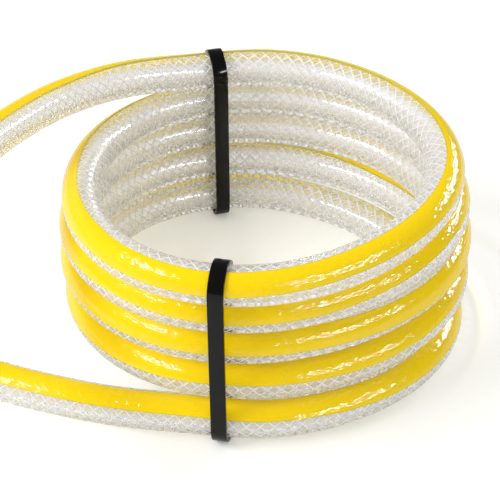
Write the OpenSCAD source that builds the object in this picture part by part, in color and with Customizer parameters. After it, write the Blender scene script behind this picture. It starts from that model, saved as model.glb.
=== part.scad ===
// Coiled air hose: a clear tube with a yarn braid and a coloured stripe in its wall, wound in four
// and a half turns that two cable ties hold together. The turns go round the Z axis and the floor
// is z = 0. The front is -Y. The first turn starts low at the front, goes right round
// counter-clockwise as seen from above, and both loose ends leave the coil on its left, -X.

/* [Hose] */
// Outside diameter of the hose
hose_d = 12; // [11:0.1:14]
// Bore of the hose
hose_bore = 6.35; // [5:0.05:7]
// Wall of the inner tube
liner_t = 1.1; // [0.7:0.1:1.3]
// Thickness of the yarn braid
braid_t = 0.4; // [0.3:0.1:0.6]
// Width of the stripe, in degrees round the hose
stripe_arc = 74; // [60:1:90]
// Straight piece at each cut end, as far as a hose tail goes in
end_l = 25; // [15:1:35]

/* [Coil] */
// Radius of the coil, to the middle of the hose
coil_r = 57; // [52:0.5:75]
// Full turns of the coil, which half a turn follows
full_turns = 4; // [2:1:6]
// Space between one turn and the next
turn_gap = 0.55; // [0.5:0.05:2]

/* [Shape of the turns] */
// How far the middle turns stand out past the first and the last
barrel = 1.2; // [0:0.1:3]
// Half the difference between the coil's depth and its width
oval = 1.5; // [0:0.1:3]
// Height of the three soft corners that the turns have
lobe = 1.5; // [0:0.1:2.5]
// How far back the middle turns sit
set_back = 5.2; // [0:0.1:7]
// How much wider and less deep the middle turns are
pinch = 2; // [0:0.1:3]
// How far the first and last turns are drawn out cornerwise, in opposite ways
skew = 1.6; // [0:0.1:3]

/* [Cable ties] */
// Width of a tie's strap
tie_w = 4.7; // [3.6:0.1:6]
// Thickness of the strap
strap_t = 1.2; // [0.9:0.05:1.4]
// Space between the strap and the hose
tie_gap = 0.45; // [0.4:0.05:0.8]
// Angle of the front tie from the middle of the front, towards the loose ends
front_angle = 11.8; // [10:0.1:15]
// Angle of the rear tie from the middle of the back, towards the loose ends
rear_angle = 13.5; // [10:0.1:15]
// How much is flat under each tie, where it stands on the floor
foot_cut = 0.3; // [0.1:0.05:0.5]
// Length of the head along the strap
head_l = 8; // [7.6:0.1:10]
// Width of the head
head_w = 7.4; // [7:0.1:9]
// Height of the head off the hose
head_h = 5.6; // [5.4:0.1:7]
// How far the head's underside stands off the strap's inner face
head_lift = 0.5; // [0.4:0.05:0.7]
// Inside radius of the strap's bend into the head
bend_r = 1.5; // [1:0.1:1.6]
// How far the trimmed strap stands out of the head
trim_l = 2.5; // [1:0.1:10]
// Width of the pawl in the head
pawl_w = 3.6; // [2.5:0.1:3.8]

/* [Hidden] */

clear_colour = [0.84, 0.86, 0.88];
yarn_colour = [0.97, 0.97, 0.96];
stripe_colour = [1, 0.84, 0.05];
tie_colour = [0.06, 0.06, 0.07];

// The hose's layers, from the bore out. The stripe takes the place of the clear cover on its arc.
bore_r = hose_bore / 2;
liner_r = bore_r + liner_t;
braid_r = liner_r + braid_t;
hose_r = hose_d / 2;

// Where the stripe's lower edge lies round the hose, in degrees up from the side away from the
// coil's axis, at a few places along the coil, counted in turns.
stripe_turns = [[-0.3, 41], [-0.05, 33], [0.02, 31], [0.1, 16], [0.2, 8], [0.4, -18], [0.63, -25],
    [0.83, 3], [0.97, 21], [1.1, 9], [1.2, 18], [1.38, 36], [1.5, 8], [1.62, -18], [1.75, -8],
    [1.88, 1], [2.03, -1], [2.13, -12], [2.4, -20], [2.63, -23], [2.8, 7], [2.87, 14], [2.97, -1],
    [3.05, 3], [3.19, 28], [3.4, -16], [3.55, -14], [3.7, 3], [3.85, 11], [3.96, 0], [4.07, 14],
    [4.18, 19], [4.3, 11], [4.55, 3], [4.7, 31], [4.8, 34]];
// Flats across the stripe and round the rest, on the coil and on the loose ends.
coil_flats = [1, 5];
tail_flats = [3, 9];

// The turns. Each is level from the front tie round the right to the rear tie, and climbs by one
// pitch on the left. The first also sinks to the floor on the right, where it is cut flat.
rings = 24;
last_turn = full_turns + 0.5;
mid_turn = last_turn / 2;
pitch = hose_d + turn_gap;
front_turn = front_angle / 360;
rear_turn = 0.5 + rear_angle / 360;
level_part = front_turn + rear_turn;
floor_cut = hose_d / 10;
low_z = hose_r + tie_gap + strap_t - foot_cut;
sunk_z = hose_r - floor_cut;

function along(t) = (t - mid_turn) / mid_turn;
function belly(t) = 1 - along(t) * along(t);
function turn_r(t) = coil_r + barrel * belly(t) + oval * cos(720 * t) - lobe * sin(1080 * t)
    - belly(t) * (set_back * cos(360 * t) + pinch * cos(720 * t))
    + skew * along(t) * cos(720 * t + 45);
function ease(x) = let (c = min(max(x, 0), 1)) c * c * (3 - 2 * c);
function climbed(t) = let (w = t + front_turn, whole = floor(w))
    whole + ease((w - whole - level_part) / (1 - level_part));
function sink(t) =
    t > 0 && t < rear_turn ? (low_z - sunk_z) * pow(sin(180 * t / rear_turn), 2) : 0;
function turn_point(t) = let (r = turn_r(t))
    [r * sin(360 * t), -r * cos(360 * t), low_z + pitch * climbed(t) - sink(t)];

// The coil's own ends run straight through the ties.
lower_run = [-22, 2.6, 0];
upper_run = [-22, -2.4, 0];
run_turn = 0.06;
coil_turns = [-run_turn, each [for (i = [0:rings * last_turn]) i / rings], last_turn + run_turn];
lower_start = turn_point(0) + lower_run;
upper_start = turn_point(last_turn) + upper_run;
coil_route = [lower_start, each [for (i = [0:rings * last_turn]) turn_point(i / rings)], upper_start];

// The loose ends, from where the coil ends. The lower one lies on the floor and the upper one
// springs up and forward. Each point but the last carries a ring, and the last segment gives the
// way that the straight cut end points.
lower_steps = [[0, 0], [-24, 5.5], [-48, 13], [-71, 23], [-93, 35]];
lower_end_way = [-22, 13, 0];
upper_steps = [[0, 0, 0], [-22, -11, 4], [-40, -29, 8.5], [-54, -51, 12.5], [-64, -73, 15.5],
    [-73, -96, 18], [-81, -119.5, 20.5]];
upper_end_way = [-7, -23, 2];
tail_turn = 0.07;
lower_route = [for (i = [0:len(lower_steps) - 1])
    [lower_start[0] + lower_steps[i][0], lower_start[1] + lower_steps[i][1],
     i == 0 ? lower_start[2] : hose_r]];
upper_route = [for (s = upper_steps) upper_start + s];
lower_turns = [for (i = [0:len(lower_route) - 1]) -run_turn - tail_turn * i];
upper_turns = [for (i = [0:len(upper_route) - 1]) last_turn + run_turn + tail_turn * i];

// The way that the hose heads at each point of a route, with its ends given.
function unit(v) = v / norm(v);
function ways(route, first, last) = let (m = len(route) - 1)
    [for (i = [0:m]) unit(i == 0 ? first : i == m ? last : route[i + 1] - route[i - 1])];
coil_ways = ways(coil_route, -lower_run, upper_run);
lower_ways = ways(lower_route, lower_run, lower_end_way);
upper_ways = ways(upper_route, upper_run, upper_end_way);

// Across the hose: side points level and to the right of its way, and up is square to both.
function side_of(way) = unit([way[1], -way[0], 0]);
function up_of(way) = cross(side_of(way), way);

// The least space between the turns, from each ring's centre to the turn above, on points.
function to_line(p, a, b) = let (d = b - a, s = min(max((p - a) * d / (d * d), 0), 1))
    norm(p - a - s * d);
least_gap = min([for (i = [0:len(coil_route) - 1])
    for (j = [i + rings / 2:min(i + 2 * rings, len(coil_route) - 2)])
        to_line(coil_route[i], coil_route[j], coil_route[j + 1])]) - hose_d;
function route_l(route) = len(route) < 2 ? 0 :
    [for (i = [1:len(route) - 1]) norm(route[i] - route[i - 1])]
    * [for (i = [1:len(route) - 1]) 1];
echo("least gap", least_gap);
echo("hose length", route_l(coil_route) + route_l(lower_route) + route_l(upper_route) + 2 * end_l);

// The angles round one ring: the whole hose, or only the stripe, or only the rest.
function spread(from, to, n) = [for (j = [0:n]) from + (to - from) * j / n];
function round_hose(part, low, flats) = let (
    high = low + stripe_arc,
    stripe = spread(low, high, flats[0]),
    rest = spread(high, low + 360, flats[1]))
    part == "stripe" ? stripe
    : part == "rest" ? rest
    : [each stripe, each [for (j = [1:flats[1] - 1]) rest[j]]];

// One layer of the hose along a route. Layers that touch share their corners and their triangles.
module layer(part, route, ways, turns, flats, r_out, r_in) {
    angles = [for (t = turns) round_hose(part, lookup(t, stripe_turns), flats)];
    n = len(angles[0]);
    m = len(route) - 1;
    spans = part == "whole" ? n : n - 1;
    points = [for (i = [0:m]) for (q = angles[i]) for (r = [r_out, r_in])
        route[i] + r * (cos(q) * side_of(ways[i]) + sin(q) * up_of(ways[i]))];
    function out(i, j) = 2 * (i * n + j % n);
    function inn(i, j) = out(i, j) + 1;
    walls = [for (i = [0:m - 1]) for (j = [0:spans - 1]) each [
        [out(i, j), out(i, j + 1), out(i + 1, j + 1)],
        [out(i, j), out(i + 1, j + 1), out(i + 1, j)],
        [inn(i, j), inn(i + 1, j + 1), inn(i, j + 1)],
        [inn(i, j), inn(i + 1, j), inn(i + 1, j + 1)]]];
    caps = [for (j = [0:spans - 1]) each [
        [out(0, j), inn(0, j), inn(0, j + 1)],
        [out(0, j), inn(0, j + 1), out(0, j + 1)],
        [out(m, j), out(m, j + 1), inn(m, j + 1)],
        [out(m, j), inn(m, j + 1), inn(m, j)]]];
    edges = part == "whole" ? [] : [for (i = [0:m - 1]) each [
        [out(i, 0), out(i + 1, 0), inn(i + 1, 0)],
        [out(i, 0), inn(i + 1, 0), inn(i, 0)],
        [out(i, n - 1), inn(i + 1, n - 1), out(i + 1, n - 1)],
        [out(i, n - 1), inn(i, n - 1), inn(i + 1, n - 1)]]];
    polyhedron(points = points, faces = [each walls, each caps, each edges], convexity = 12);
}

module coil_layer(part, r_out, r_in) {
    layer(part, coil_route, coil_ways, coil_turns, coil_flats, r_out, r_in);
}

module lower_layer(part, r_out, r_in) {
    mirror_ways = [for (w = lower_ways) -w];
    reverse = [for (i = [len(lower_route) - 1:-1:0]) i];
    layer(part, [for (i = reverse) lower_route[i]], [for (i = reverse) mirror_ways[i]],
        [for (i = reverse) lower_turns[i]], tail_flats, r_out, r_in);
}

module upper_layer(part, r_out, r_in) {
    layer(part, upper_route, upper_ways, upper_turns, tail_flats, r_out, r_in);
}

// A straight cut end, drawn along -Z and then laid from a point along a way.
module laid_along(from, way) {
    heading = atan2(way[1], way[0]);
    rise = atan2(way[2], norm([way[0], way[1]]));
    translate(from) rotate([90 + rise, 0, heading - 90]) translate([0, 0, -end_l]) children();
}

module sector(from, arc, r_out, r_in) {
    rotate([0, 0, from]) rotate_extrude(angle = arc, $fn = 96)
        translate([r_in, 0]) square([r_out - r_in, end_l]);
}

module tube(r_out, r_in) {
    difference() {
        cylinder(h = end_l, r = r_out, $fn = 96);
        translate([0, 0, -1]) cylinder(h = end_l + 2, r = r_in, $fn = 96);
    }
}

lower_from = lower_route[len(lower_route) - 1];
upper_from = upper_route[len(upper_route) - 1];
// On the lower end the hose is drawn backwards, so its side lies the other way round.
lower_stripe = 180 - lookup(lower_turns[len(lower_turns) - 1], stripe_turns) - stripe_arc;
upper_stripe = lookup(upper_turns[len(upper_turns) - 1], stripe_turns);

module coil_liner() { color(clear_colour) coil_layer("whole", liner_r, bore_r); }
module coil_braid() { color(yarn_colour) coil_layer("whole", braid_r, liner_r); }
module coil_stripe() { color(stripe_colour) coil_layer("stripe", hose_r, braid_r); }
module coil_cover() {
    reach = 2 * coil_r;
    color(clear_colour) difference() {
        coil_layer("rest", hose_r, braid_r);
        translate([-reach / 2, -reach, -hose_d]) cube([1.5 * reach, 2 * reach, hose_d]);
    }
}

module lower_tail_liner() { color(clear_colour) lower_layer("whole", liner_r, bore_r); }
module lower_tail_braid() { color(yarn_colour) lower_layer("whole", braid_r, liner_r); }
module lower_tail_cover() { color(clear_colour) lower_layer("rest", hose_r, braid_r); }
module lower_tail_stripe() { color(stripe_colour) lower_layer("stripe", hose_r, braid_r); }

module upper_tail_liner() { color(clear_colour) upper_layer("whole", liner_r, bore_r); }
module upper_tail_braid() { color(yarn_colour) upper_layer("whole", braid_r, liner_r); }
module upper_tail_cover() { color(clear_colour) upper_layer("rest", hose_r, braid_r); }
module upper_tail_stripe() { color(stripe_colour) upper_layer("stripe", hose_r, braid_r); }

module lower_end() { laid_along(lower_from, lower_end_way) children(); }
module lower_end_liner() { color(clear_colour) lower_end() tube(liner_r, bore_r); }
module lower_end_braid() { color(yarn_colour) lower_end() tube(braid_r, liner_r); }
module lower_end_cover() {
    color(clear_colour) lower_end()
        sector(lower_stripe + stripe_arc, 360 - stripe_arc, hose_r, braid_r);
}
module lower_end_stripe() {
    color(stripe_colour) lower_end() sector(lower_stripe, stripe_arc, hose_r, braid_r);
}

module upper_end() { laid_along(upper_from, upper_end_way) children(); }
module upper_end_liner() { color(clear_colour) upper_end() tube(liner_r, bore_r); }
module upper_end_braid() { color(yarn_colour) upper_end() tube(braid_r, liner_r); }
module upper_end_cover() {
    color(clear_colour) upper_end()
        sector(upper_stripe + stripe_arc, 360 - stripe_arc, hose_r, braid_r);
}
module upper_end_stripe() {
    color(stripe_colour) upper_end() sector(upper_stripe, stripe_arc, hose_r, braid_r);
}

// The ties. Each lies in an upright plane through the coil's axis, where x points away from the
// bundle on the side that the head is on: inwards at the front, outwards at the back.
wrap_r = hose_r + tie_gap;
tie_clear = 0.12;
pin_clear = 0.05;
front_out = [-sin(front_angle), -cos(front_angle)];
rear_out = [-sin(rear_angle), cos(rear_angle)];
// Where a straight run, from p along d, passes through the plane that holds the direction out.
function through(p, d, out) = let (
    s = (p[1] * out[0] - p[0] * out[1]) / (d[0] * out[1] - d[1] * out[0])) p + s * d;
// The same for the straight stretch from ring to ring that holds turn t.
function ring_run(t, out) = let (from = turn_point(floor(t * rings) / rings))
    through(from, turn_point(ceil(t * rings) / rings) - from, out);
function reach_of(p) = norm([p[0], p[1]]);
front_points = [through(turn_point(0), lower_run, front_out),
    each [for (k = [1:full_turns]) ring_run(k - front_turn, front_out)]];
rear_points = [each [for (k = [0:full_turns - 1]) ring_run(k + rear_turn, rear_out)],
    through(turn_point(last_turn), upper_run, rear_out)];
front_hits = [for (p = front_points) [-reach_of(p), p[2]]];
rear_hits = [for (p = rear_points) [reach_of(p), p[2]]];
function peak(hits) = [for (h = hits) if (h[0] == max([for (g = hits) g[0]])) h][0];

module front_plane() { rotate([0, 0, 90 - front_angle]) children(); }
module rear_plane() { rotate([0, 0, 90 + rear_angle]) children(); }
module slab(w) { rotate([90, 0, 0]) linear_extrude(w, center = true) children(); }

// Everything that a tie goes round, grown by r, and straight where its head sits.
module bundle(hits, r) {
    top = peak(hits);
    hull() {
        for (h = hits) translate(h) circle(r = r, $fn = 32);
        for (s = [-1, 1]) translate(top + [0, s * head_l / 2]) circle(r = r, $fn = 32);
    }
}

// Teeth on the strap's inner face and on the pawl.
tooth_l = 0.7;
tooth_step = 0.9;
notch_depth = 0.35;
first_notch = 3.13;

module strap(hits) {
    face = peak(hits)[0] + wrap_r;
    mid = peak(hits)[1];
    bend = [strap_t + bend_r, strap_t / 2 + bend_r];
    trim = head_h + trim_l;
    slab(tie_w) {
        difference() {
            bundle(hits, wrap_r + strap_t);
            bundle(hits, wrap_r);
            translate([face - 10 * hose_d, -hose_d]) square([20 * hose_d, hose_d]);
            translate([face - 0.1, mid - head_l / 2]) square([2 * strap_t, head_l / 2 + bend[1]]);
        }
        translate([face, mid]) {
            intersection() {
                translate(bend) difference() {
                    circle(r = bend_r + strap_t, $fn = 64);
                    circle(r = bend_r, $fn = 64);
                }
                square(2 * [bend[0], bend[1]], center = true);
            }
            difference() {
                translate([bend[0], -strap_t / 2]) square([trim - bend[0], strap_t]);
                for (x = [first_notch:tooth_step:trim - tooth_l])
                    translate([x, -strap_t / 2])
                        polygon([[0, 0], [tooth_l, notch_depth], [tooth_l, -1], [0, -1]]);
            }
        }
    }
}

// The head's parts below are placed from where the strap's inner face enters it.
pin_at = [1.5, -2 - strap_t / 2];
pin_r = 0.5;
pawl_outline = [[1.35, -1.75], [3, -0.35], [3.05, -0.35], [3.7, 0.1], [3.75, -0.35], [3.95, -0.35],
    [4.6, 0.1], [4.65, -0.35], [4.75, -0.75], [1.75, -2.3]];
room_outline = [[1.62, -1.4], [2.85, -0.1], [2.85, 0.1], [head_h + 1, 0.1], [head_h + 1, -1.5],
    [5, -1.58], [1.75, -2.47]];
room_clear = 0.15;
corner = 0.9;

module at_peak(hits) { translate([peak(hits)[0] + wrap_r, 0, peak(hits)[1]]) children(); }

module head_block() {
    y = head_w / 2;
    z = head_l / 2;
    translate([head_lift, 0, 0]) rotate([90, 0, 90]) linear_extrude(head_h - head_lift)
        polygon([[-y, corner - z], [corner - y, -z], [y - corner, -z], [y, corner - z],
            [y, z - corner], [y - corner, z], [corner - y, z], [-y, z - corner]]);
}

module strap_way() {
    w = tie_w + 2 * tie_clear;
    t = strap_t + tie_clear;
    bend = [strap_t + bend_r, strap_t / 2 + bend_r];
    translate([-1, -w / 2, -strap_t / 2 - tie_clear]) cube([head_h + 2, w, strap_t + 2 * tie_clear]);
    translate([-1, -w / 2, 0]) cube([1 + t, w, head_l]);
    difference() {
        translate([-1, -w / 2, 0]) cube([1 + bend[0], w, bend[1]]);
        translate([bend[0], 0, bend[1]]) rotate([90, 0, 0])
            cylinder(h = 2 * w, r = bend_r - tie_clear, center = true, $fn = 64);
    }
}

module tie_head(hits) {
    at_peak(hits) difference() {
        head_block();
        strap_way();
        slab(pawl_w + 2 * room_clear) translate([0, -strap_t / 2]) polygon(room_outline);
        translate([pin_at[0], 0, pin_at[1]]) rotate([90, 0, 0])
            cylinder(h = pawl_w + 2 * room_clear, r = pin_r + pin_clear, center = true, $fn = 64);
    }
}

module pawl(hits) {
    at_peak(hits) {
        slab(pawl_w) translate([0, -strap_t / 2]) polygon(pawl_outline);
        translate([pin_at[0], 0, pin_at[1]]) rotate([90, 0, 0])
            cylinder(h = pawl_w, r = pin_r, center = true, $fn = 64);
    }
}

echo("front pin", front_out * -(peak(front_hits)[0] + wrap_r + pin_at[0]), peak(front_hits)[1] + pin_at[1]);
echo("rear pin", rear_out * (peak(rear_hits)[0] + wrap_r + pin_at[0]), peak(rear_hits)[1] + pin_at[1]);
echo("feet", front_out * -front_hits[0][0], rear_out * rear_hits[0][0]);

module front_tie_strap() { color(tie_colour) front_plane() strap(front_hits); }
module front_tie_head() { color(tie_colour) front_plane() tie_head(front_hits); }
module front_tie_pawl() { color(tie_colour) front_plane() pawl(front_hits); }
module rear_tie_strap() { color(tie_colour) rear_plane() strap(rear_hits); }
module rear_tie_head() { color(tie_colour) rear_plane() tie_head(rear_hits); }
module rear_tie_pawl() { color(tie_colour) rear_plane() pawl(rear_hits); }

coil_liner();
coil_braid();
coil_cover();
coil_stripe();
lower_tail_liner();
lower_tail_braid();
lower_tail_cover();
lower_tail_stripe();
upper_tail_liner();
upper_tail_braid();
upper_tail_cover();
upper_tail_stripe();
lower_end_liner();
lower_end_braid();
lower_end_cover();
lower_end_stripe();
upper_end_liner();
upper_end_braid();
upper_end_cover();
upper_end_stripe();
front_tie_strap();
front_tie_head();
front_tie_pawl();
rear_tie_strap();
rear_tie_head();
rear_tie_pawl();
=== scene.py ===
"""Looks of a coiled air hose: a clear tube with a braid and a yellow stripe, and two cable ties."""
import math

import bmesh
import bpy
from mathutils import Matrix, Quaternion, Vector
from mathutils.geometry import interpolate_bezier


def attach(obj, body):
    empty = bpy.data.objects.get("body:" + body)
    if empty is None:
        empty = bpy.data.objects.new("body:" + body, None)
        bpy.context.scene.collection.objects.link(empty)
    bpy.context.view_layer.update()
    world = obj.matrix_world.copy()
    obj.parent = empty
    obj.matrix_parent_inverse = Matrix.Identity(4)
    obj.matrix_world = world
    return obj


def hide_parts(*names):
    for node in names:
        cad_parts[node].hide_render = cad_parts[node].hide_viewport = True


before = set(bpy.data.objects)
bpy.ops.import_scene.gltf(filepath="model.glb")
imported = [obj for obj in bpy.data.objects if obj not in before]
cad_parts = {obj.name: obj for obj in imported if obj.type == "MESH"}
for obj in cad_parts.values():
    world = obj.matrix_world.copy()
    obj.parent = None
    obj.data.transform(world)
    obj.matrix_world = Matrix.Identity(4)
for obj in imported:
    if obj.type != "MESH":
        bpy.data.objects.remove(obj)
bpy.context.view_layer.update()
scene = bpy.context.scene
scene.view_settings.view_transform = "Standard"
# Light crosses many clear surfaces on its way through the coil.
LIGHT_BOUNCES = 32
scene.cycles.max_bounces = LIGHT_BOUNCES
scene.cycles.transmission_bounces = LIGHT_BOUNCES

# The hose's radii in metres, as all lengths here are, from the bore out. The braid's two are those
# of the sleeve that it lies in, between the liner and the cover.
BORE_R = 0.003175
BRAID_IN = 0.004275
BRAID_OUT = 0.004675
HOSE_R = 0.006
# The straight stretch at each cut end.
END_L = 0.025
# How far the stripe and the yarns stand out of the wall where they would share its surface.
PROUD = 0.00002
# About how far apart the rings of the meshes lie, and how many faces go round each piece.
RING_STEP = 0.0019
WALL_SIDES = 36
STRIPE_SIDES = 10
YARN_SIDES = 8
# The UV map that counts the braid's diamonds.
HOSE_UV = "hose"

# The braid: so many yarns each way, and how far one goes along the hose in a turn round it.
YARNS = 8
LEAD = 0.0304
DIAMOND = LEAD / YARNS
YARN_W = 0.00046
YARN_T = 0.0002
# How far in from the braid's inner or outer face the middle of each lay of yarns lies.
LAY_DEPTH = 0.6 * YARN_T

# The stripe takes this many degrees of the way round. Its lower edge lies at so many degrees up
# from the side away from the coil's axis, at places along the coil that are counted in turns.
STRIPE_ARC = 74
STRIPE_TURNS = [(-0.3, 41), (-0.05, 33), (0.02, 31), (0.1, 16), (0.2, 8), (0.4, -18), (0.63, -25),
                (0.83, 3), (0.97, 21), (1.1, 9), (1.2, 18), (1.38, 36), (1.5, 8), (1.62, -18),
                (1.75, -8), (1.88, 1), (2.03, -1), (2.13, -12), (2.4, -20), (2.63, -23), (2.8, 7),
                (2.87, 14), (2.97, -1), (3.05, 3), (3.19, 28), (3.4, -16), (3.55, -14), (3.7, 3),
                (3.85, 11), (3.96, 0), (4.07, 14), (4.18, 19), (4.3, 11), (4.55, 3), (4.7, 31),
                (4.8, 34)]

# A strap keeps this share of its height when it is drawn down onto the hose.
STRAP_PULL = 0.991
# The ties' mouldings: points nearer than this are one, edges flatter than this are taken out, and
# edges sharper than this are rounded, by this much and in so many steps.
WELD = 1e-6
FLAT_EDGE = math.radians(1)
SHARP_EDGE = math.radians(35)
ROUNDING = 0.00018
ROUNDING_STEPS = 3

# The coil's radius, and how much its turns leave a circle: a belly at mid height, an oval, three
# lobes, middle turns that are set back and pinched from front to back, and a skew that turns over
# from the bottom to the top.
COIL_R = 0.057
BARREL = 0.0012
OVAL = 0.0015
LOBE = 0.0015
SET_BACK = 0.0052
PINCH = 0.002
SKEW = 0.0016
SKEW_TURN = 1 / 8
# Turns are counted from the front, to the right, and the hose climbs one pitch in each.
LAST_TURN = 4.5
MID_TURN = LAST_TURN / 2
PITCH = 0.01255
# The front tie lies this far before each whole turn and the rear one this far after it. The hose
# is level from the front tie to the rear one.
FRONT_TURN = 11.8 / 360
REAR_TURN = 0.5 + 13.5 / 360
LEVEL_PART = FRONT_TURN + REAR_TURN
# How high the first turn's middle lies at the ties, and where it sinks onto the floor.
LOW_Z = 0.00735
SUNK_Z = 0.0048
KNOTS_A_TURN = 24

# The coil's own ends run straight through the ties, and the loose ends go on from there. The lower
# one lies on the floor, and the upper one springs up and forward.
LOWER_RUN = Vector((-0.022, 0.0026, 0))
UPPER_RUN = Vector((-0.022, -0.0024, 0))
LOWER_STEPS = [(-0.024, 0.0055), (-0.048, 0.013), (-0.071, 0.023), (-0.093, 0.035)]
LOWER_END_WAY = Vector((-22, 13, 0)).normalized()
UPPER_STEPS = [(-0.022, -0.011, 0.004), (-0.04, -0.029, 0.0085), (-0.054, -0.051, 0.0125),
               (-0.064, -0.073, 0.0155), (-0.073, -0.096, 0.018), (-0.081, -0.1195, 0.0205)]
UPPER_END_WAY = Vector((-7, -23, 2)).normalized()
# The count of turns goes on along them, by so much for a run and for each step.
RUN_TURN = 0.06
LOOSE_TURN = 0.07

# Soft PVC: how much it bends light, and what is left of the light that passes a clear skin of it.
PVC_IOR = 1.53
PVC_TINT = (0.97, 0.97, 0.98, 1)
OLIVE = (0.5, 0.47, 0.01, 1)
YELLOW = (1, 0.71, 0.003, 1)
# The share of the stripe's width that each of its darker edges takes.
EDGE_LINE = 0.035
WHITE = (1, 1, 1, 1)

# The camera: its aim, how far back and how high it stands, its tilt, and its lens in millimetres.
CAMERA_AIM = Vector((-0.00335, 0, 0.02659))
CAMERA_BACK = 0.565
CAMERA_ELEVATION = math.radians(37.27)
CAMERA_ROLL = math.radians(-0.66)
CAMERA_NEAR = 0.01
LENS = 128.6
SENSOR = 36

# The world's strength, and how much less of it shows in gloss.
WORLD_STRENGTH = 0.8
GLOSS_DIMMING = 0.62
# How much brighter the floor looks than it is lit, and how far it reaches.
FLOOR_GLOW = 0.24
FLOOR_REACH = 4
LAMP_AIM = Vector((0, 0, 0.03))
LAMP_BACK = 1.1


# ---- the way that the hose lies ----

def cos_turns(turns):
    return math.cos(2 * math.pi * turns)


def sin_turns(turns):
    return math.sin(2 * math.pi * turns)


def turn_radius(t):
    along = (t - MID_TURN) / MID_TURN
    belly = 1 - along * along
    return (COIL_R + BARREL * belly + OVAL * cos_turns(2 * t) - LOBE * sin_turns(3 * t)
            - belly * (SET_BACK * cos_turns(t) + PINCH * cos_turns(2 * t))
            + SKEW * along * cos_turns(2 * t + SKEW_TURN))


def eased(share):
    """A share of the way from 0 to 1 that starts and stops gently."""
    return share * share * (3 - 2 * share)


def climbed(t):
    """How many pitches up the hose is: each turn is level through both ties, and climbs after."""
    whole = math.floor(t + FRONT_TURN)
    share = (t + FRONT_TURN - whole - LEVEL_PART) / (1 - LEVEL_PART)
    return whole + eased(min(max(share, 0), 1))


def turn_point(t):
    sink = (LOW_Z - SUNK_Z) * sin_turns(t / REAR_TURN / 2) ** 2 if 0 < t < REAR_TURN else 0
    r = turn_radius(t)
    return Vector((r * sin_turns(t), -r * cos_turns(t), LOW_Z + PITCH * climbed(t) - sink))


def stripe_angle(t):
    """Where the stripe's lower edge lies at a place along the coil, in radians."""
    if t <= STRIPE_TURNS[0][0]:
        return math.radians(STRIPE_TURNS[0][1])
    for (t0, a0), (t1, a1) in zip(STRIPE_TURNS, STRIPE_TURNS[1:]):
        if t <= t1:
            return math.radians(a0 + (a1 - a0) * (t - t0) / (t1 - t0))
    return math.radians(STRIPE_TURNS[-1][1])


def hose_knots():
    """Points that the hose goes through, from its lower cut end to its upper one, with turns."""
    lower, upper = turn_point(0) + LOWER_RUN, turn_point(LAST_TURN) + UPPER_RUN
    lower_loose = [Vector((lower.x + x, lower.y + y, HOSE_R)) for x, y in LOWER_STEPS]
    upper_loose = [upper + Vector(step) for step in UPPER_STEPS]
    knots = [(p, -RUN_TURN - LOOSE_TURN * (i + 1)) for i, p in enumerate(lower_loose)][::-1]
    knots.insert(0, (lower_loose[-1] + END_L * LOWER_END_WAY, knots[0][1]))
    knots.append((lower, -RUN_TURN))
    count = round(KNOTS_A_TURN * LAST_TURN)
    knots += [(turn_point(i / KNOTS_A_TURN), i / KNOTS_A_TURN) for i in range(count + 1)]
    knots.append((upper, LAST_TURN + RUN_TURN))
    knots += [(p, LAST_TURN + RUN_TURN + LOOSE_TURN * (i + 1)) for i, p in enumerate(upper_loose)]
    knots.append((upper_loose[-1] + END_L * UPPER_END_WAY, knots[-1][1]))
    return knots


def ways_along(points):
    """The hose's way at each point, from the one before to the one after, and set at both ends."""
    ways = [(b - a).normalized() for a, b in zip(points, points[2:])]
    return [-LOWER_END_WAY, *ways, UPPER_END_WAY]


def hose_line():
    """The hose's middle line as close points, with the turn that each lies at."""
    knots = hose_knots()
    ways = ways_along([p for p, t in knots])
    ways[1], ways[-2] = -LOWER_END_WAY, UPPER_END_WAY
    line = [knots[0]]
    for i, ((a, t0), (b, t1)) in enumerate(zip(knots, knots[1:])):
        reach = (b - a).length / 3
        steps = max(2, round(3 * reach / RING_STEP))
        span = interpolate_bezier(a, a + reach * ways[i], b - reach * ways[i + 1], b, steps + 1)
        line += [(p, t0 + (t1 - t0) * (j + 1) / steps) for j, p in enumerate(span[1:])]
    return line


class Station:
    """A place along the hose: its centre, its way, and the stripe's lower edge as the way to x."""

    def __init__(self, centre, way, t, along):
        side = Vector((way.y, -way.x, 0)).normalized()
        up = side.cross(way)
        angle = stripe_angle(t)
        self.centre = centre
        self.way = way
        self.along = along
        self.x = math.cos(angle) * side + math.sin(angle) * up
        self.y = math.cos(angle) * up - math.sin(angle) * side

    def out(self, turns):
        """The way straight out of the hose, so many turns round from the stripe's lower edge."""
        return cos_turns(turns) * self.x + sin_turns(turns) * self.y


def hose_stations():
    line = hose_line()
    points = [p for p, t in line]
    stations, along = [], 0
    for i, ((point, t), way) in enumerate(zip(line, ways_along(points))):
        along += (point - points[i - 1]).length if i else 0
        stations.append(Station(point, way, t, along))
    return stations


# ---- mesh helpers ----

def finished(bm, name, *materials, smooth_angle=40):
    """The bmesh as an object of the scene, with its faces turned outwards."""
    bm.normal_update()
    bmesh.ops.recalc_face_normals(bm, faces=bm.faces)
    mesh = bpy.data.meshes.new(name)
    bm.to_mesh(mesh)
    bm.free()
    piece = bpy.data.objects.new(name, mesh)
    scene.collection.objects.link(piece)
    for material in materials:
        mesh.materials.append(material)
    mesh.shade_smooth()
    mesh.set_sharp_from_angle(angle=math.radians(smooth_angle))
    return piece


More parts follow.
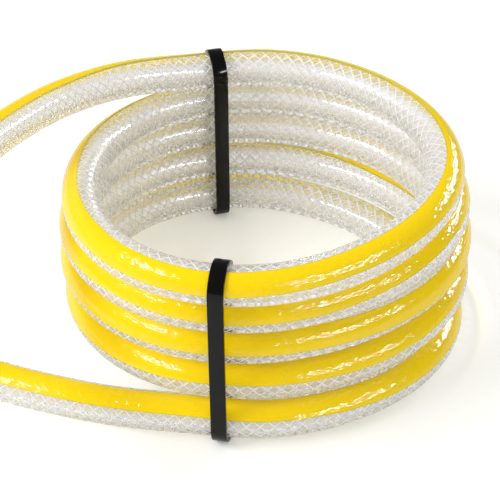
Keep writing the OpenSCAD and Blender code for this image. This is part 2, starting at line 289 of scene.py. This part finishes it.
def lay_along_hose(bm, stations, turns_a_metre=0, proud=0):
    """Draws flat faces out into rods with a ring for each station, and lays them along the hose.
    They may wind round it as they go, and their ends may stand proud of its cuts."""
    steps = len(stations) - 1
    drawn = bmesh.ops.extrude_face_region(bm, geom=list(bm.faces))["geom"]
    far = [g for g in drawn if isinstance(g, bmesh.types.BMVert)]
    bmesh.ops.translate(bm, vec=(0, 0, steps), verts=far)
    long_edges = [e for e in bm.edges if e.verts[0].co.z != e.verts[1].co.z]
    bmesh.ops.subdivide_edges(bm, edges=long_edges, cuts=steps - 1)
    along, around, depth = [bm.verts.layers.float.new(n) for n in ("along", "around", "depth")]
    for v in bm.verts:
        station = stations[round(v.co.z)]
        v[along] = station.along
        v[around] = math.atan2(v.co.y, v.co.x) / (2 * math.pi) % 1
        v[depth] = math.hypot(v.co.x, v.co.y)
        v.co = station.centre + v[depth] * station.out(v[around] + turns_a_metre * station.along)
        if station is stations[0]:
            v.co -= proud * station.way
        if station is stations[-1]:
            v.co += proud * station.way


def ring_sector(bm, r_in, r_out, arc, steps):
    """Flat faces between two radii, from the x axis round by an arc in turns."""
    edge = [bm.verts.new((r_in, 0, 0)), bm.verts.new((r_out, 0, 0))]
    geom = [*edge, bm.edges.new(edge)]
    bmesh.ops.spin(bm, geom=geom, axis=(0, 0, 1), angle=2 * math.pi * arc, steps=steps,
                   use_merge=arc == 1)


def set_hose_uv(bm):
    """A UV map that counts diamonds of the braid along the hose, and yarns round it."""
    along = bm.verts.layers.float["along"]
    around = bm.verts.layers.float["around"]
    uv = bm.loops.layers.uv.new(HOSE_UV)
    for face in bm.faces:
        low = min(v[around] for v in face.verts)
        for loop in face.loops:
            turns = loop.vert[around]
            # A face that spans the start of the count takes it as going on from before 0.
            turns -= 1 if turns - low > 0.5 else 0
            loop[uv].uv = (loop.vert[along] / DIAMOND, turns * YARNS)


def use_inner_material(bm, radius):
    """The faces that lie nearer than a radius to the hose's middle take the second material."""
    depth = bm.verts.layers.float["depth"]
    for face in bm.faces:
        face.material_index = int(all(v[depth] < radius for v in face.verts))


def flatten_on_floor(bm):
    for v in bm.verts:
        v.co.z = max(v.co.z, 0)


# ---- pieces ----

def hose_wall(stations):
    """The clear wall as one tube, from the bore to the outside."""
    bm = bmesh.new()
    ring_sector(bm, BORE_R, HOSE_R, 1, WALL_SIDES)
    lay_along_hose(bm, stations)
    set_hose_uv(bm)
    use_inner_material(bm, BRAID_IN)
    flatten_on_floor(bm)
    return finished(bm, "hose_wall", clear_pvc(), bore_pvc())


def hose_stripe(stations):
    bm = bmesh.new()
    ring_sector(bm, BRAID_OUT, HOSE_R + PROUD, STRIPE_ARC / 360, STRIPE_SIDES)
    lay_along_hose(bm, stations, proud=PROUD)
    set_hose_uv(bm)
    use_inner_material(bm, HOSE_R)
    flatten_on_floor(bm)
    return finished(bm, "hose_stripe", stripe_pvc(), stripe_inside_pvc())


def braid_lay(name, material, hand, radius, stations):
    """The yarns that wind one way round the hose: 1 for right-handed and -1 for left-handed."""
    bm = bmesh.new()
    lean = math.atan(2 * math.pi * radius / LEAD)
    flat = Matrix.Diagonal((YARN_T / 2, YARN_W / 2 / math.cos(lean), 1, 1))
    for k in range(YARNS):
        turn = Matrix.Rotation(2 * math.pi * k / YARNS, 4, "Z")
        at = turn @ Matrix.Translation((radius, 0, 0)) @ flat
        bmesh.ops.create_circle(bm, radius=1, segments=YARN_SIDES, cap_ends=True, matrix=at)
    lay_along_hose(bm, stations, hand / LEAD, PROUD)
    return finished(bm, name, material, smooth_angle=60)


def tie_piece(node, material):
    """A tie's moulding with its edges rounded, in place of the CAD node."""
    bm = bmesh.new()
    bm.from_mesh(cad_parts[node].data)
    bmesh.ops.remove_doubles(bm, verts=bm.verts, dist=WELD)
    if node.endswith("strap"):
        bmesh.ops.scale(bm, vec=(1, 1, STRAP_PULL), verts=bm.verts)
    bmesh.ops.dissolve_limit(bm, angle_limit=FLAT_EDGE, verts=bm.verts, edges=bm.edges)
    edges = [e for e in bm.edges if e.is_manifold and e.calc_face_angle() > SHARP_EDGE]
    bmesh.ops.bevel(bm, geom=edges, offset=ROUNDING, offset_type="OFFSET",
                    segments=ROUNDING_STEPS, profile=0.5, affect="EDGES", material=-1,
                    clamp_overlap=True)
    piece = finished(bm, node + "_moulding", material)
    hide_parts(node)
    return piece


# ---- material helpers ----

def new_material(name, constants):
    """A material, its node tree and its main shader, with constants on the shader's sockets."""
    material = bpy.data.materials.new(name)
    material.use_nodes = True
    tree = material.node_tree
    shader = tree.nodes["Principled BSDF"]
    for socket, value in constants.items():
        shader.inputs[socket].default_value = value
    return material, tree, shader


def new_node(tree, kind, **settings):
    made = tree.nodes.new(kind)
    for key, value in settings.items():
        setattr(made, key, value)
    return made


def feed(tree, value, socket):
    """Gives a socket a number, or links another node's socket to it."""
    if isinstance(value, (int, float)):
        socket.default_value = value
    else:
        tree.links.new(value, socket)


def math_node(tree, operation, *values):
    """The result of a sum on numbers and sockets."""
    made = new_node(tree, "ShaderNodeMath", operation=operation)
    for value, socket in zip(values, made.inputs):
        feed(tree, value, socket)
    return made.outputs[0]


def coloured(tree, kind, colour):
    """A simple shader of one colour."""
    made = new_node(tree, kind)
    made.inputs[0].default_value = colour
    return made.outputs[0]


def mixed(tree, share, first, second):
    """Two shaders mixed, with the second one's share as a number or a socket."""
    mix = new_node(tree, "ShaderNodeMixShader")
    for value, socket in zip((share, first, second), mix.inputs):
        feed(tree, value, socket)
    return mix.outputs[0]


def hose_place(tree):
    """The hose's UV map, and its counts of diamonds along and of yarns round, as three sockets."""
    uv = new_node(tree, "ShaderNodeUVMap", uv_map=HOSE_UV).outputs[0]
    parts = new_node(tree, "ShaderNodeSeparateXYZ")
    tree.links.new(uv, parts.inputs[0])
    return uv, parts.outputs[0], parts.outputs[1]


def braid_relief(tree, along_scale, around_scale, unevenness):
    """A height that stands up over the braid's crossings, with the skin's small unevenness."""
    uv, diamonds, yarns = hose_place(tree)
    waves = []
    for operation in ("ADD", "SUBTRACT"):
        phase = math_node(tree, operation, diamonds, yarns)
        waves.append(math_node(tree, "COSINE", math_node(tree, "MULTIPLY", phase, 2 * math.pi)))
    lattice = math_node(tree, "MULTIPLY", math_node(tree, "ADD", *waves), 0.5)
    mapping = new_node(tree, "ShaderNodeMapping")
    mapping.inputs["Scale"].default_value = (along_scale, around_scale, 1)
    noise = new_node(tree, "ShaderNodeTexNoise")
    noise.inputs["Scale"].default_value = 1
    noise.inputs["Detail"].default_value = 0
    tree.links.new(uv, mapping.inputs[0])
    tree.links.new(mapping.outputs[0], noise.inputs["Vector"])
    skin = math_node(tree, "MULTIPLY", noise.outputs["Fac"], unevenness)
    return math_node(tree, "ADD", lattice, skin)


def add_bump(tree, shader, height, distance):
    bump = new_node(tree, "ShaderNodeBump")
    bump.inputs["Strength"].default_value = 1
    bump.inputs["Distance"].default_value = distance
    tree.links.new(height, bump.inputs["Height"])
    tree.links.new(bump.outputs[0], shader.inputs["Normal"])


def let_light_through(tree, surface, tint, soft_light=0):
    """Shadow rays pass straight through, and so does a share of the soft light, so that what is
    inside is lit."""
    path = new_node(tree, "ShaderNodeLightPath")
    soft = math_node(tree, "MULTIPLY", path.outputs["Is Diffuse Ray"], soft_light)
    passing = math_node(tree, "MAXIMUM", path.outputs["Is Shadow Ray"], soft)
    surface = mixed(tree, passing, surface, coloured(tree, "ShaderNodeBsdfTransparent", tint))
    tree.links.new(surface, tree.nodes["Material Output"].inputs["Surface"])


def seen_rays(tree):
    """1 for a ray from the eye, straight or through the clear wall, and 0 for any other."""
    rays = new_node(tree, "ShaderNodeLightPath").outputs
    return math_node(tree, "MAXIMUM", rays["Is Camera Ray"], rays["Is Transmission Ray"])


# ---- materials ----

def clear_pvc():
    """The outside of clear flexible PVC, with the faint haze that it has in the mass."""
    material, tree, shader = new_material("clear_pvc", {
        "Base Color": (0.975, 0.975, 1, 1), "Roughness": 0.07, "IOR": PVC_IOR,
        "Transmission Weight": 0.9})
    relief = braid_relief(tree, along_scale=2.5, around_scale=5, unevenness=1)
    add_bump(tree, shader, relief, distance=0.00002)
    let_light_through(tree, shader.outputs[0], PVC_TINT, soft_light=1)
    return material


def bore_pvc():
    """The bore, which is a little milky."""
    material, tree, shader = new_material("bore_pvc", {
        "Base Color": (0.985, 0.98, 0.98, 1), "Roughness": 0.25, "IOR": PVC_IOR,
        "Transmission Weight": 1})
    milk = coloured(tree, "ShaderNodeBsdfDiffuse", (0.98, 0.97, 0.98, 1))
    milk_share = 0.3
    surface = mixed(tree, milk_share, shader.outputs[0], milk)
    let_light_through(tree, surface, PVC_TINT, soft_light=1)
    return material


def stripe_inside_pvc():
    """The stripe as it is seen through the clear wall, golden with the light from outside."""
    material, tree, shader = new_material("stripe_inside_pvc", {
        "Base Color": (1, 0.76, 0.01, 1), "Roughness": 0.5})
    glow = coloured(tree, "ShaderNodeBsdfTranslucent", (1, 0.78, 0.015, 1))
    glow_share = 0.75
    surface = mixed(tree, glow_share, shader.outputs[0], glow)
    let_light_through(tree, surface, (0.3, 0.26, 0.08, 1))
    return material


def stripe_pvc():
    """Yellow PVC, with a darker line along both of its edges, which lets some light through."""
    material, tree, shader = new_material("stripe_pvc", {"Roughness": 0.05, "IOR": PVC_IOR})
    _, _, yarns = hose_place(tree)
    across = math_node(tree, "DIVIDE", yarns, STRIPE_ARC / 360 * YARNS)
    ramp = new_node(tree, "ShaderNodeValToRGB")
    stops = ramp.color_ramp.elements
    places = [0, EDGE_LINE, 1 - EDGE_LINE, 1]
    for place in places[1:-1]:
        stops.new(place)
    for stop, place, colour in zip(stops, places, (OLIVE, YELLOW, YELLOW, OLIVE)):
        stop.position = place
        stop.color = colour
    tree.links.new(across, ramp.inputs[0])
    tree.links.new(ramp.outputs[0], shader.inputs["Base Color"])
    relief = braid_relief(tree, along_scale=4, around_scale=8, unevenness=4)
    add_bump(tree, shader, relief, distance=0.00003)
    glow = coloured(tree, "ShaderNodeBsdfTranslucent", (1, 0.72, 0.01, 1))
    glow_share = 0.1
    surface = mixed(tree, glow_share, shader.outputs[0], glow)
    inner_side = new_node(tree, "ShaderNodeNewGeometry").outputs["Backfacing"]
    let_light_through(tree, surface, (1, 0.95, 0.6, 1), soft_light=inner_side)
    return material


def braid_yarn():
    return new_material("braid_yarn", {
        "Base Color": (0.93, 0.93, 0.94, 1), "Roughness": 0.35, "Alpha": 0.85})[0]


def tie_nylon():
    return new_material("tie_nylon", {
        "Base Color": (0.003, 0.0028, 0.0025, 1), "Roughness": 0.14,
        "Specular IOR Level": 0.25})[0]


# ---- camera, floor and light ----

def add_camera():
    back = Vector((0, -math.cos(CAMERA_ELEVATION), math.sin(CAMERA_ELEVATION)))
    data = bpy.data.cameras.new("camera")
    data.sensor_width = SENSOR
    data.lens = LENS
    data.clip_start = CAMERA_NEAR
    camera = bpy.data.objects.new("camera", data)
    camera.location = CAMERA_AIM + CAMERA_BACK * back
    camera.rotation_mode = "QUATERNION"
    roll = Quaternion((0, 0, 1), CAMERA_ROLL)
    camera.rotation_quaternion = (-back).to_track_quat("-Z", "Y") @ roll
    scene.collection.objects.link(camera)
    scene.camera = camera


def lamp_place(azimuth, elevation):
    """A point so many degrees round from the front to the right, and so many up."""
    azimuth, elevation = math.radians(azimuth), math.radians(elevation)
    flat = LAMP_BACK * math.cos(elevation)
    height = LAMP_BACK * math.sin(elevation)
    return Vector((flat * math.sin(azimuth), -flat * math.cos(azimuth), height))


def add_lamp(name, at, size, watts, gloss_only=False):
    """A lamp so wide and high, aimed at the coil. It may show in gloss and light nothing else."""
    data = bpy.data.lights.new(name, "AREA")
    data.shape = "RECTANGLE"
    data.size, data.size_y = size
    data.energy = watts
    lamp = bpy.data.objects.new(name, data)
    lamp.location = at
    lamp.rotation_mode = "QUATERNION"
    lamp.rotation_quaternion = (LAMP_AIM - at).to_track_quat("-Z", "Y")
    lamp.visible_diffuse = not gloss_only
    scene.collection.objects.link(lamp)


def add_floor():
    """White, and a little brighter to the eye than it is lit."""
    material, tree, shader = new_material("floor_paint", {
        "Base Color": (0.86, 0.865, 0.845, 1), "Roughness": 0.6, "Emission Color": WHITE})
    glow = math_node(tree, "MULTIPLY", seen_rays(tree), FLOOR_GLOW)
    tree.links.new(glow, shader.inputs["Emission Strength"])
    bm = bmesh.new()
    bmesh.ops.create_grid(bm, x_segments=1, y_segments=1, size=FLOOR_REACH)
    floor = finished(bm, "floor", material)


def add_world():
    """An even light, which looks white through the clear wall and is dimmer in gloss."""
    world = bpy.data.worlds.new("studio")
    world.use_nodes = True
    tree = world.node_tree
    gloss = new_node(tree, "ShaderNodeLightPath").outputs["Is Glossy Ray"]
    dimming = math_node(tree, "MULTIPLY", gloss, GLOSS_DIMMING)
    unseen = math_node(tree, "SUBTRACT", WORLD_STRENGTH, dimming)
    strength = math_node(tree, "MAXIMUM", seen_rays(tree), unseen)
    background = tree.nodes["Background"]
    background.inputs[0].default_value = WHITE
    tree.links.new(strength, background.inputs[1])
    scene.world = world


# ---- the scene ----

add_camera()
stations = hose_stations()
wall = hose_wall(stations)
stripe = hose_stripe(stations)
yarn = braid_yarn()
right_lay = braid_lay("braid_right_lay", yarn, 1, BRAID_IN + LAY_DEPTH, stations)
left_lay = braid_lay("braid_left_lay", yarn, -1, BRAID_OUT - LAY_DEPTH, stations)

HOSE_PARTS = ("coil", "lower_tail", "upper_tail", "lower_end", "upper_end")
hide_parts(*[f"{part}_{layer}" for part in HOSE_PARTS for layer in ("liner", "cover")])
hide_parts(*[f"{part}_braid" for part in HOSE_PARTS])
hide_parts(*[f"{part}_stripe" for part in HOSE_PARTS])
for piece, slot in ((wall, "clear_pvc"), (stripe, "stripe_pvc"), (right_lay, "braid_yarn"),
                    (left_lay, "braid_yarn")):
    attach(piece, "root")

nylon = tie_nylon()
for tie in ("front", "rear"):
    for part, body in (("strap", "root"), ("head", "root"), ("pawl", tie + "_pawl")):
        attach(tie_piece(f"{tie}_tie_{part}", nylon), body)

add_floor()
add_world()
add_lamp("left", lamp_place(-75, 45), size=(0.6, 0.07), watts=6)
add_lamp("right_front", lamp_place(50, 30), size=(0.9, 0.04), watts=8, gloss_only=True)
add_lamp("right_back", lamp_place(130, 22), size=(0.6, 0.08), watts=9, gloss_only=True)
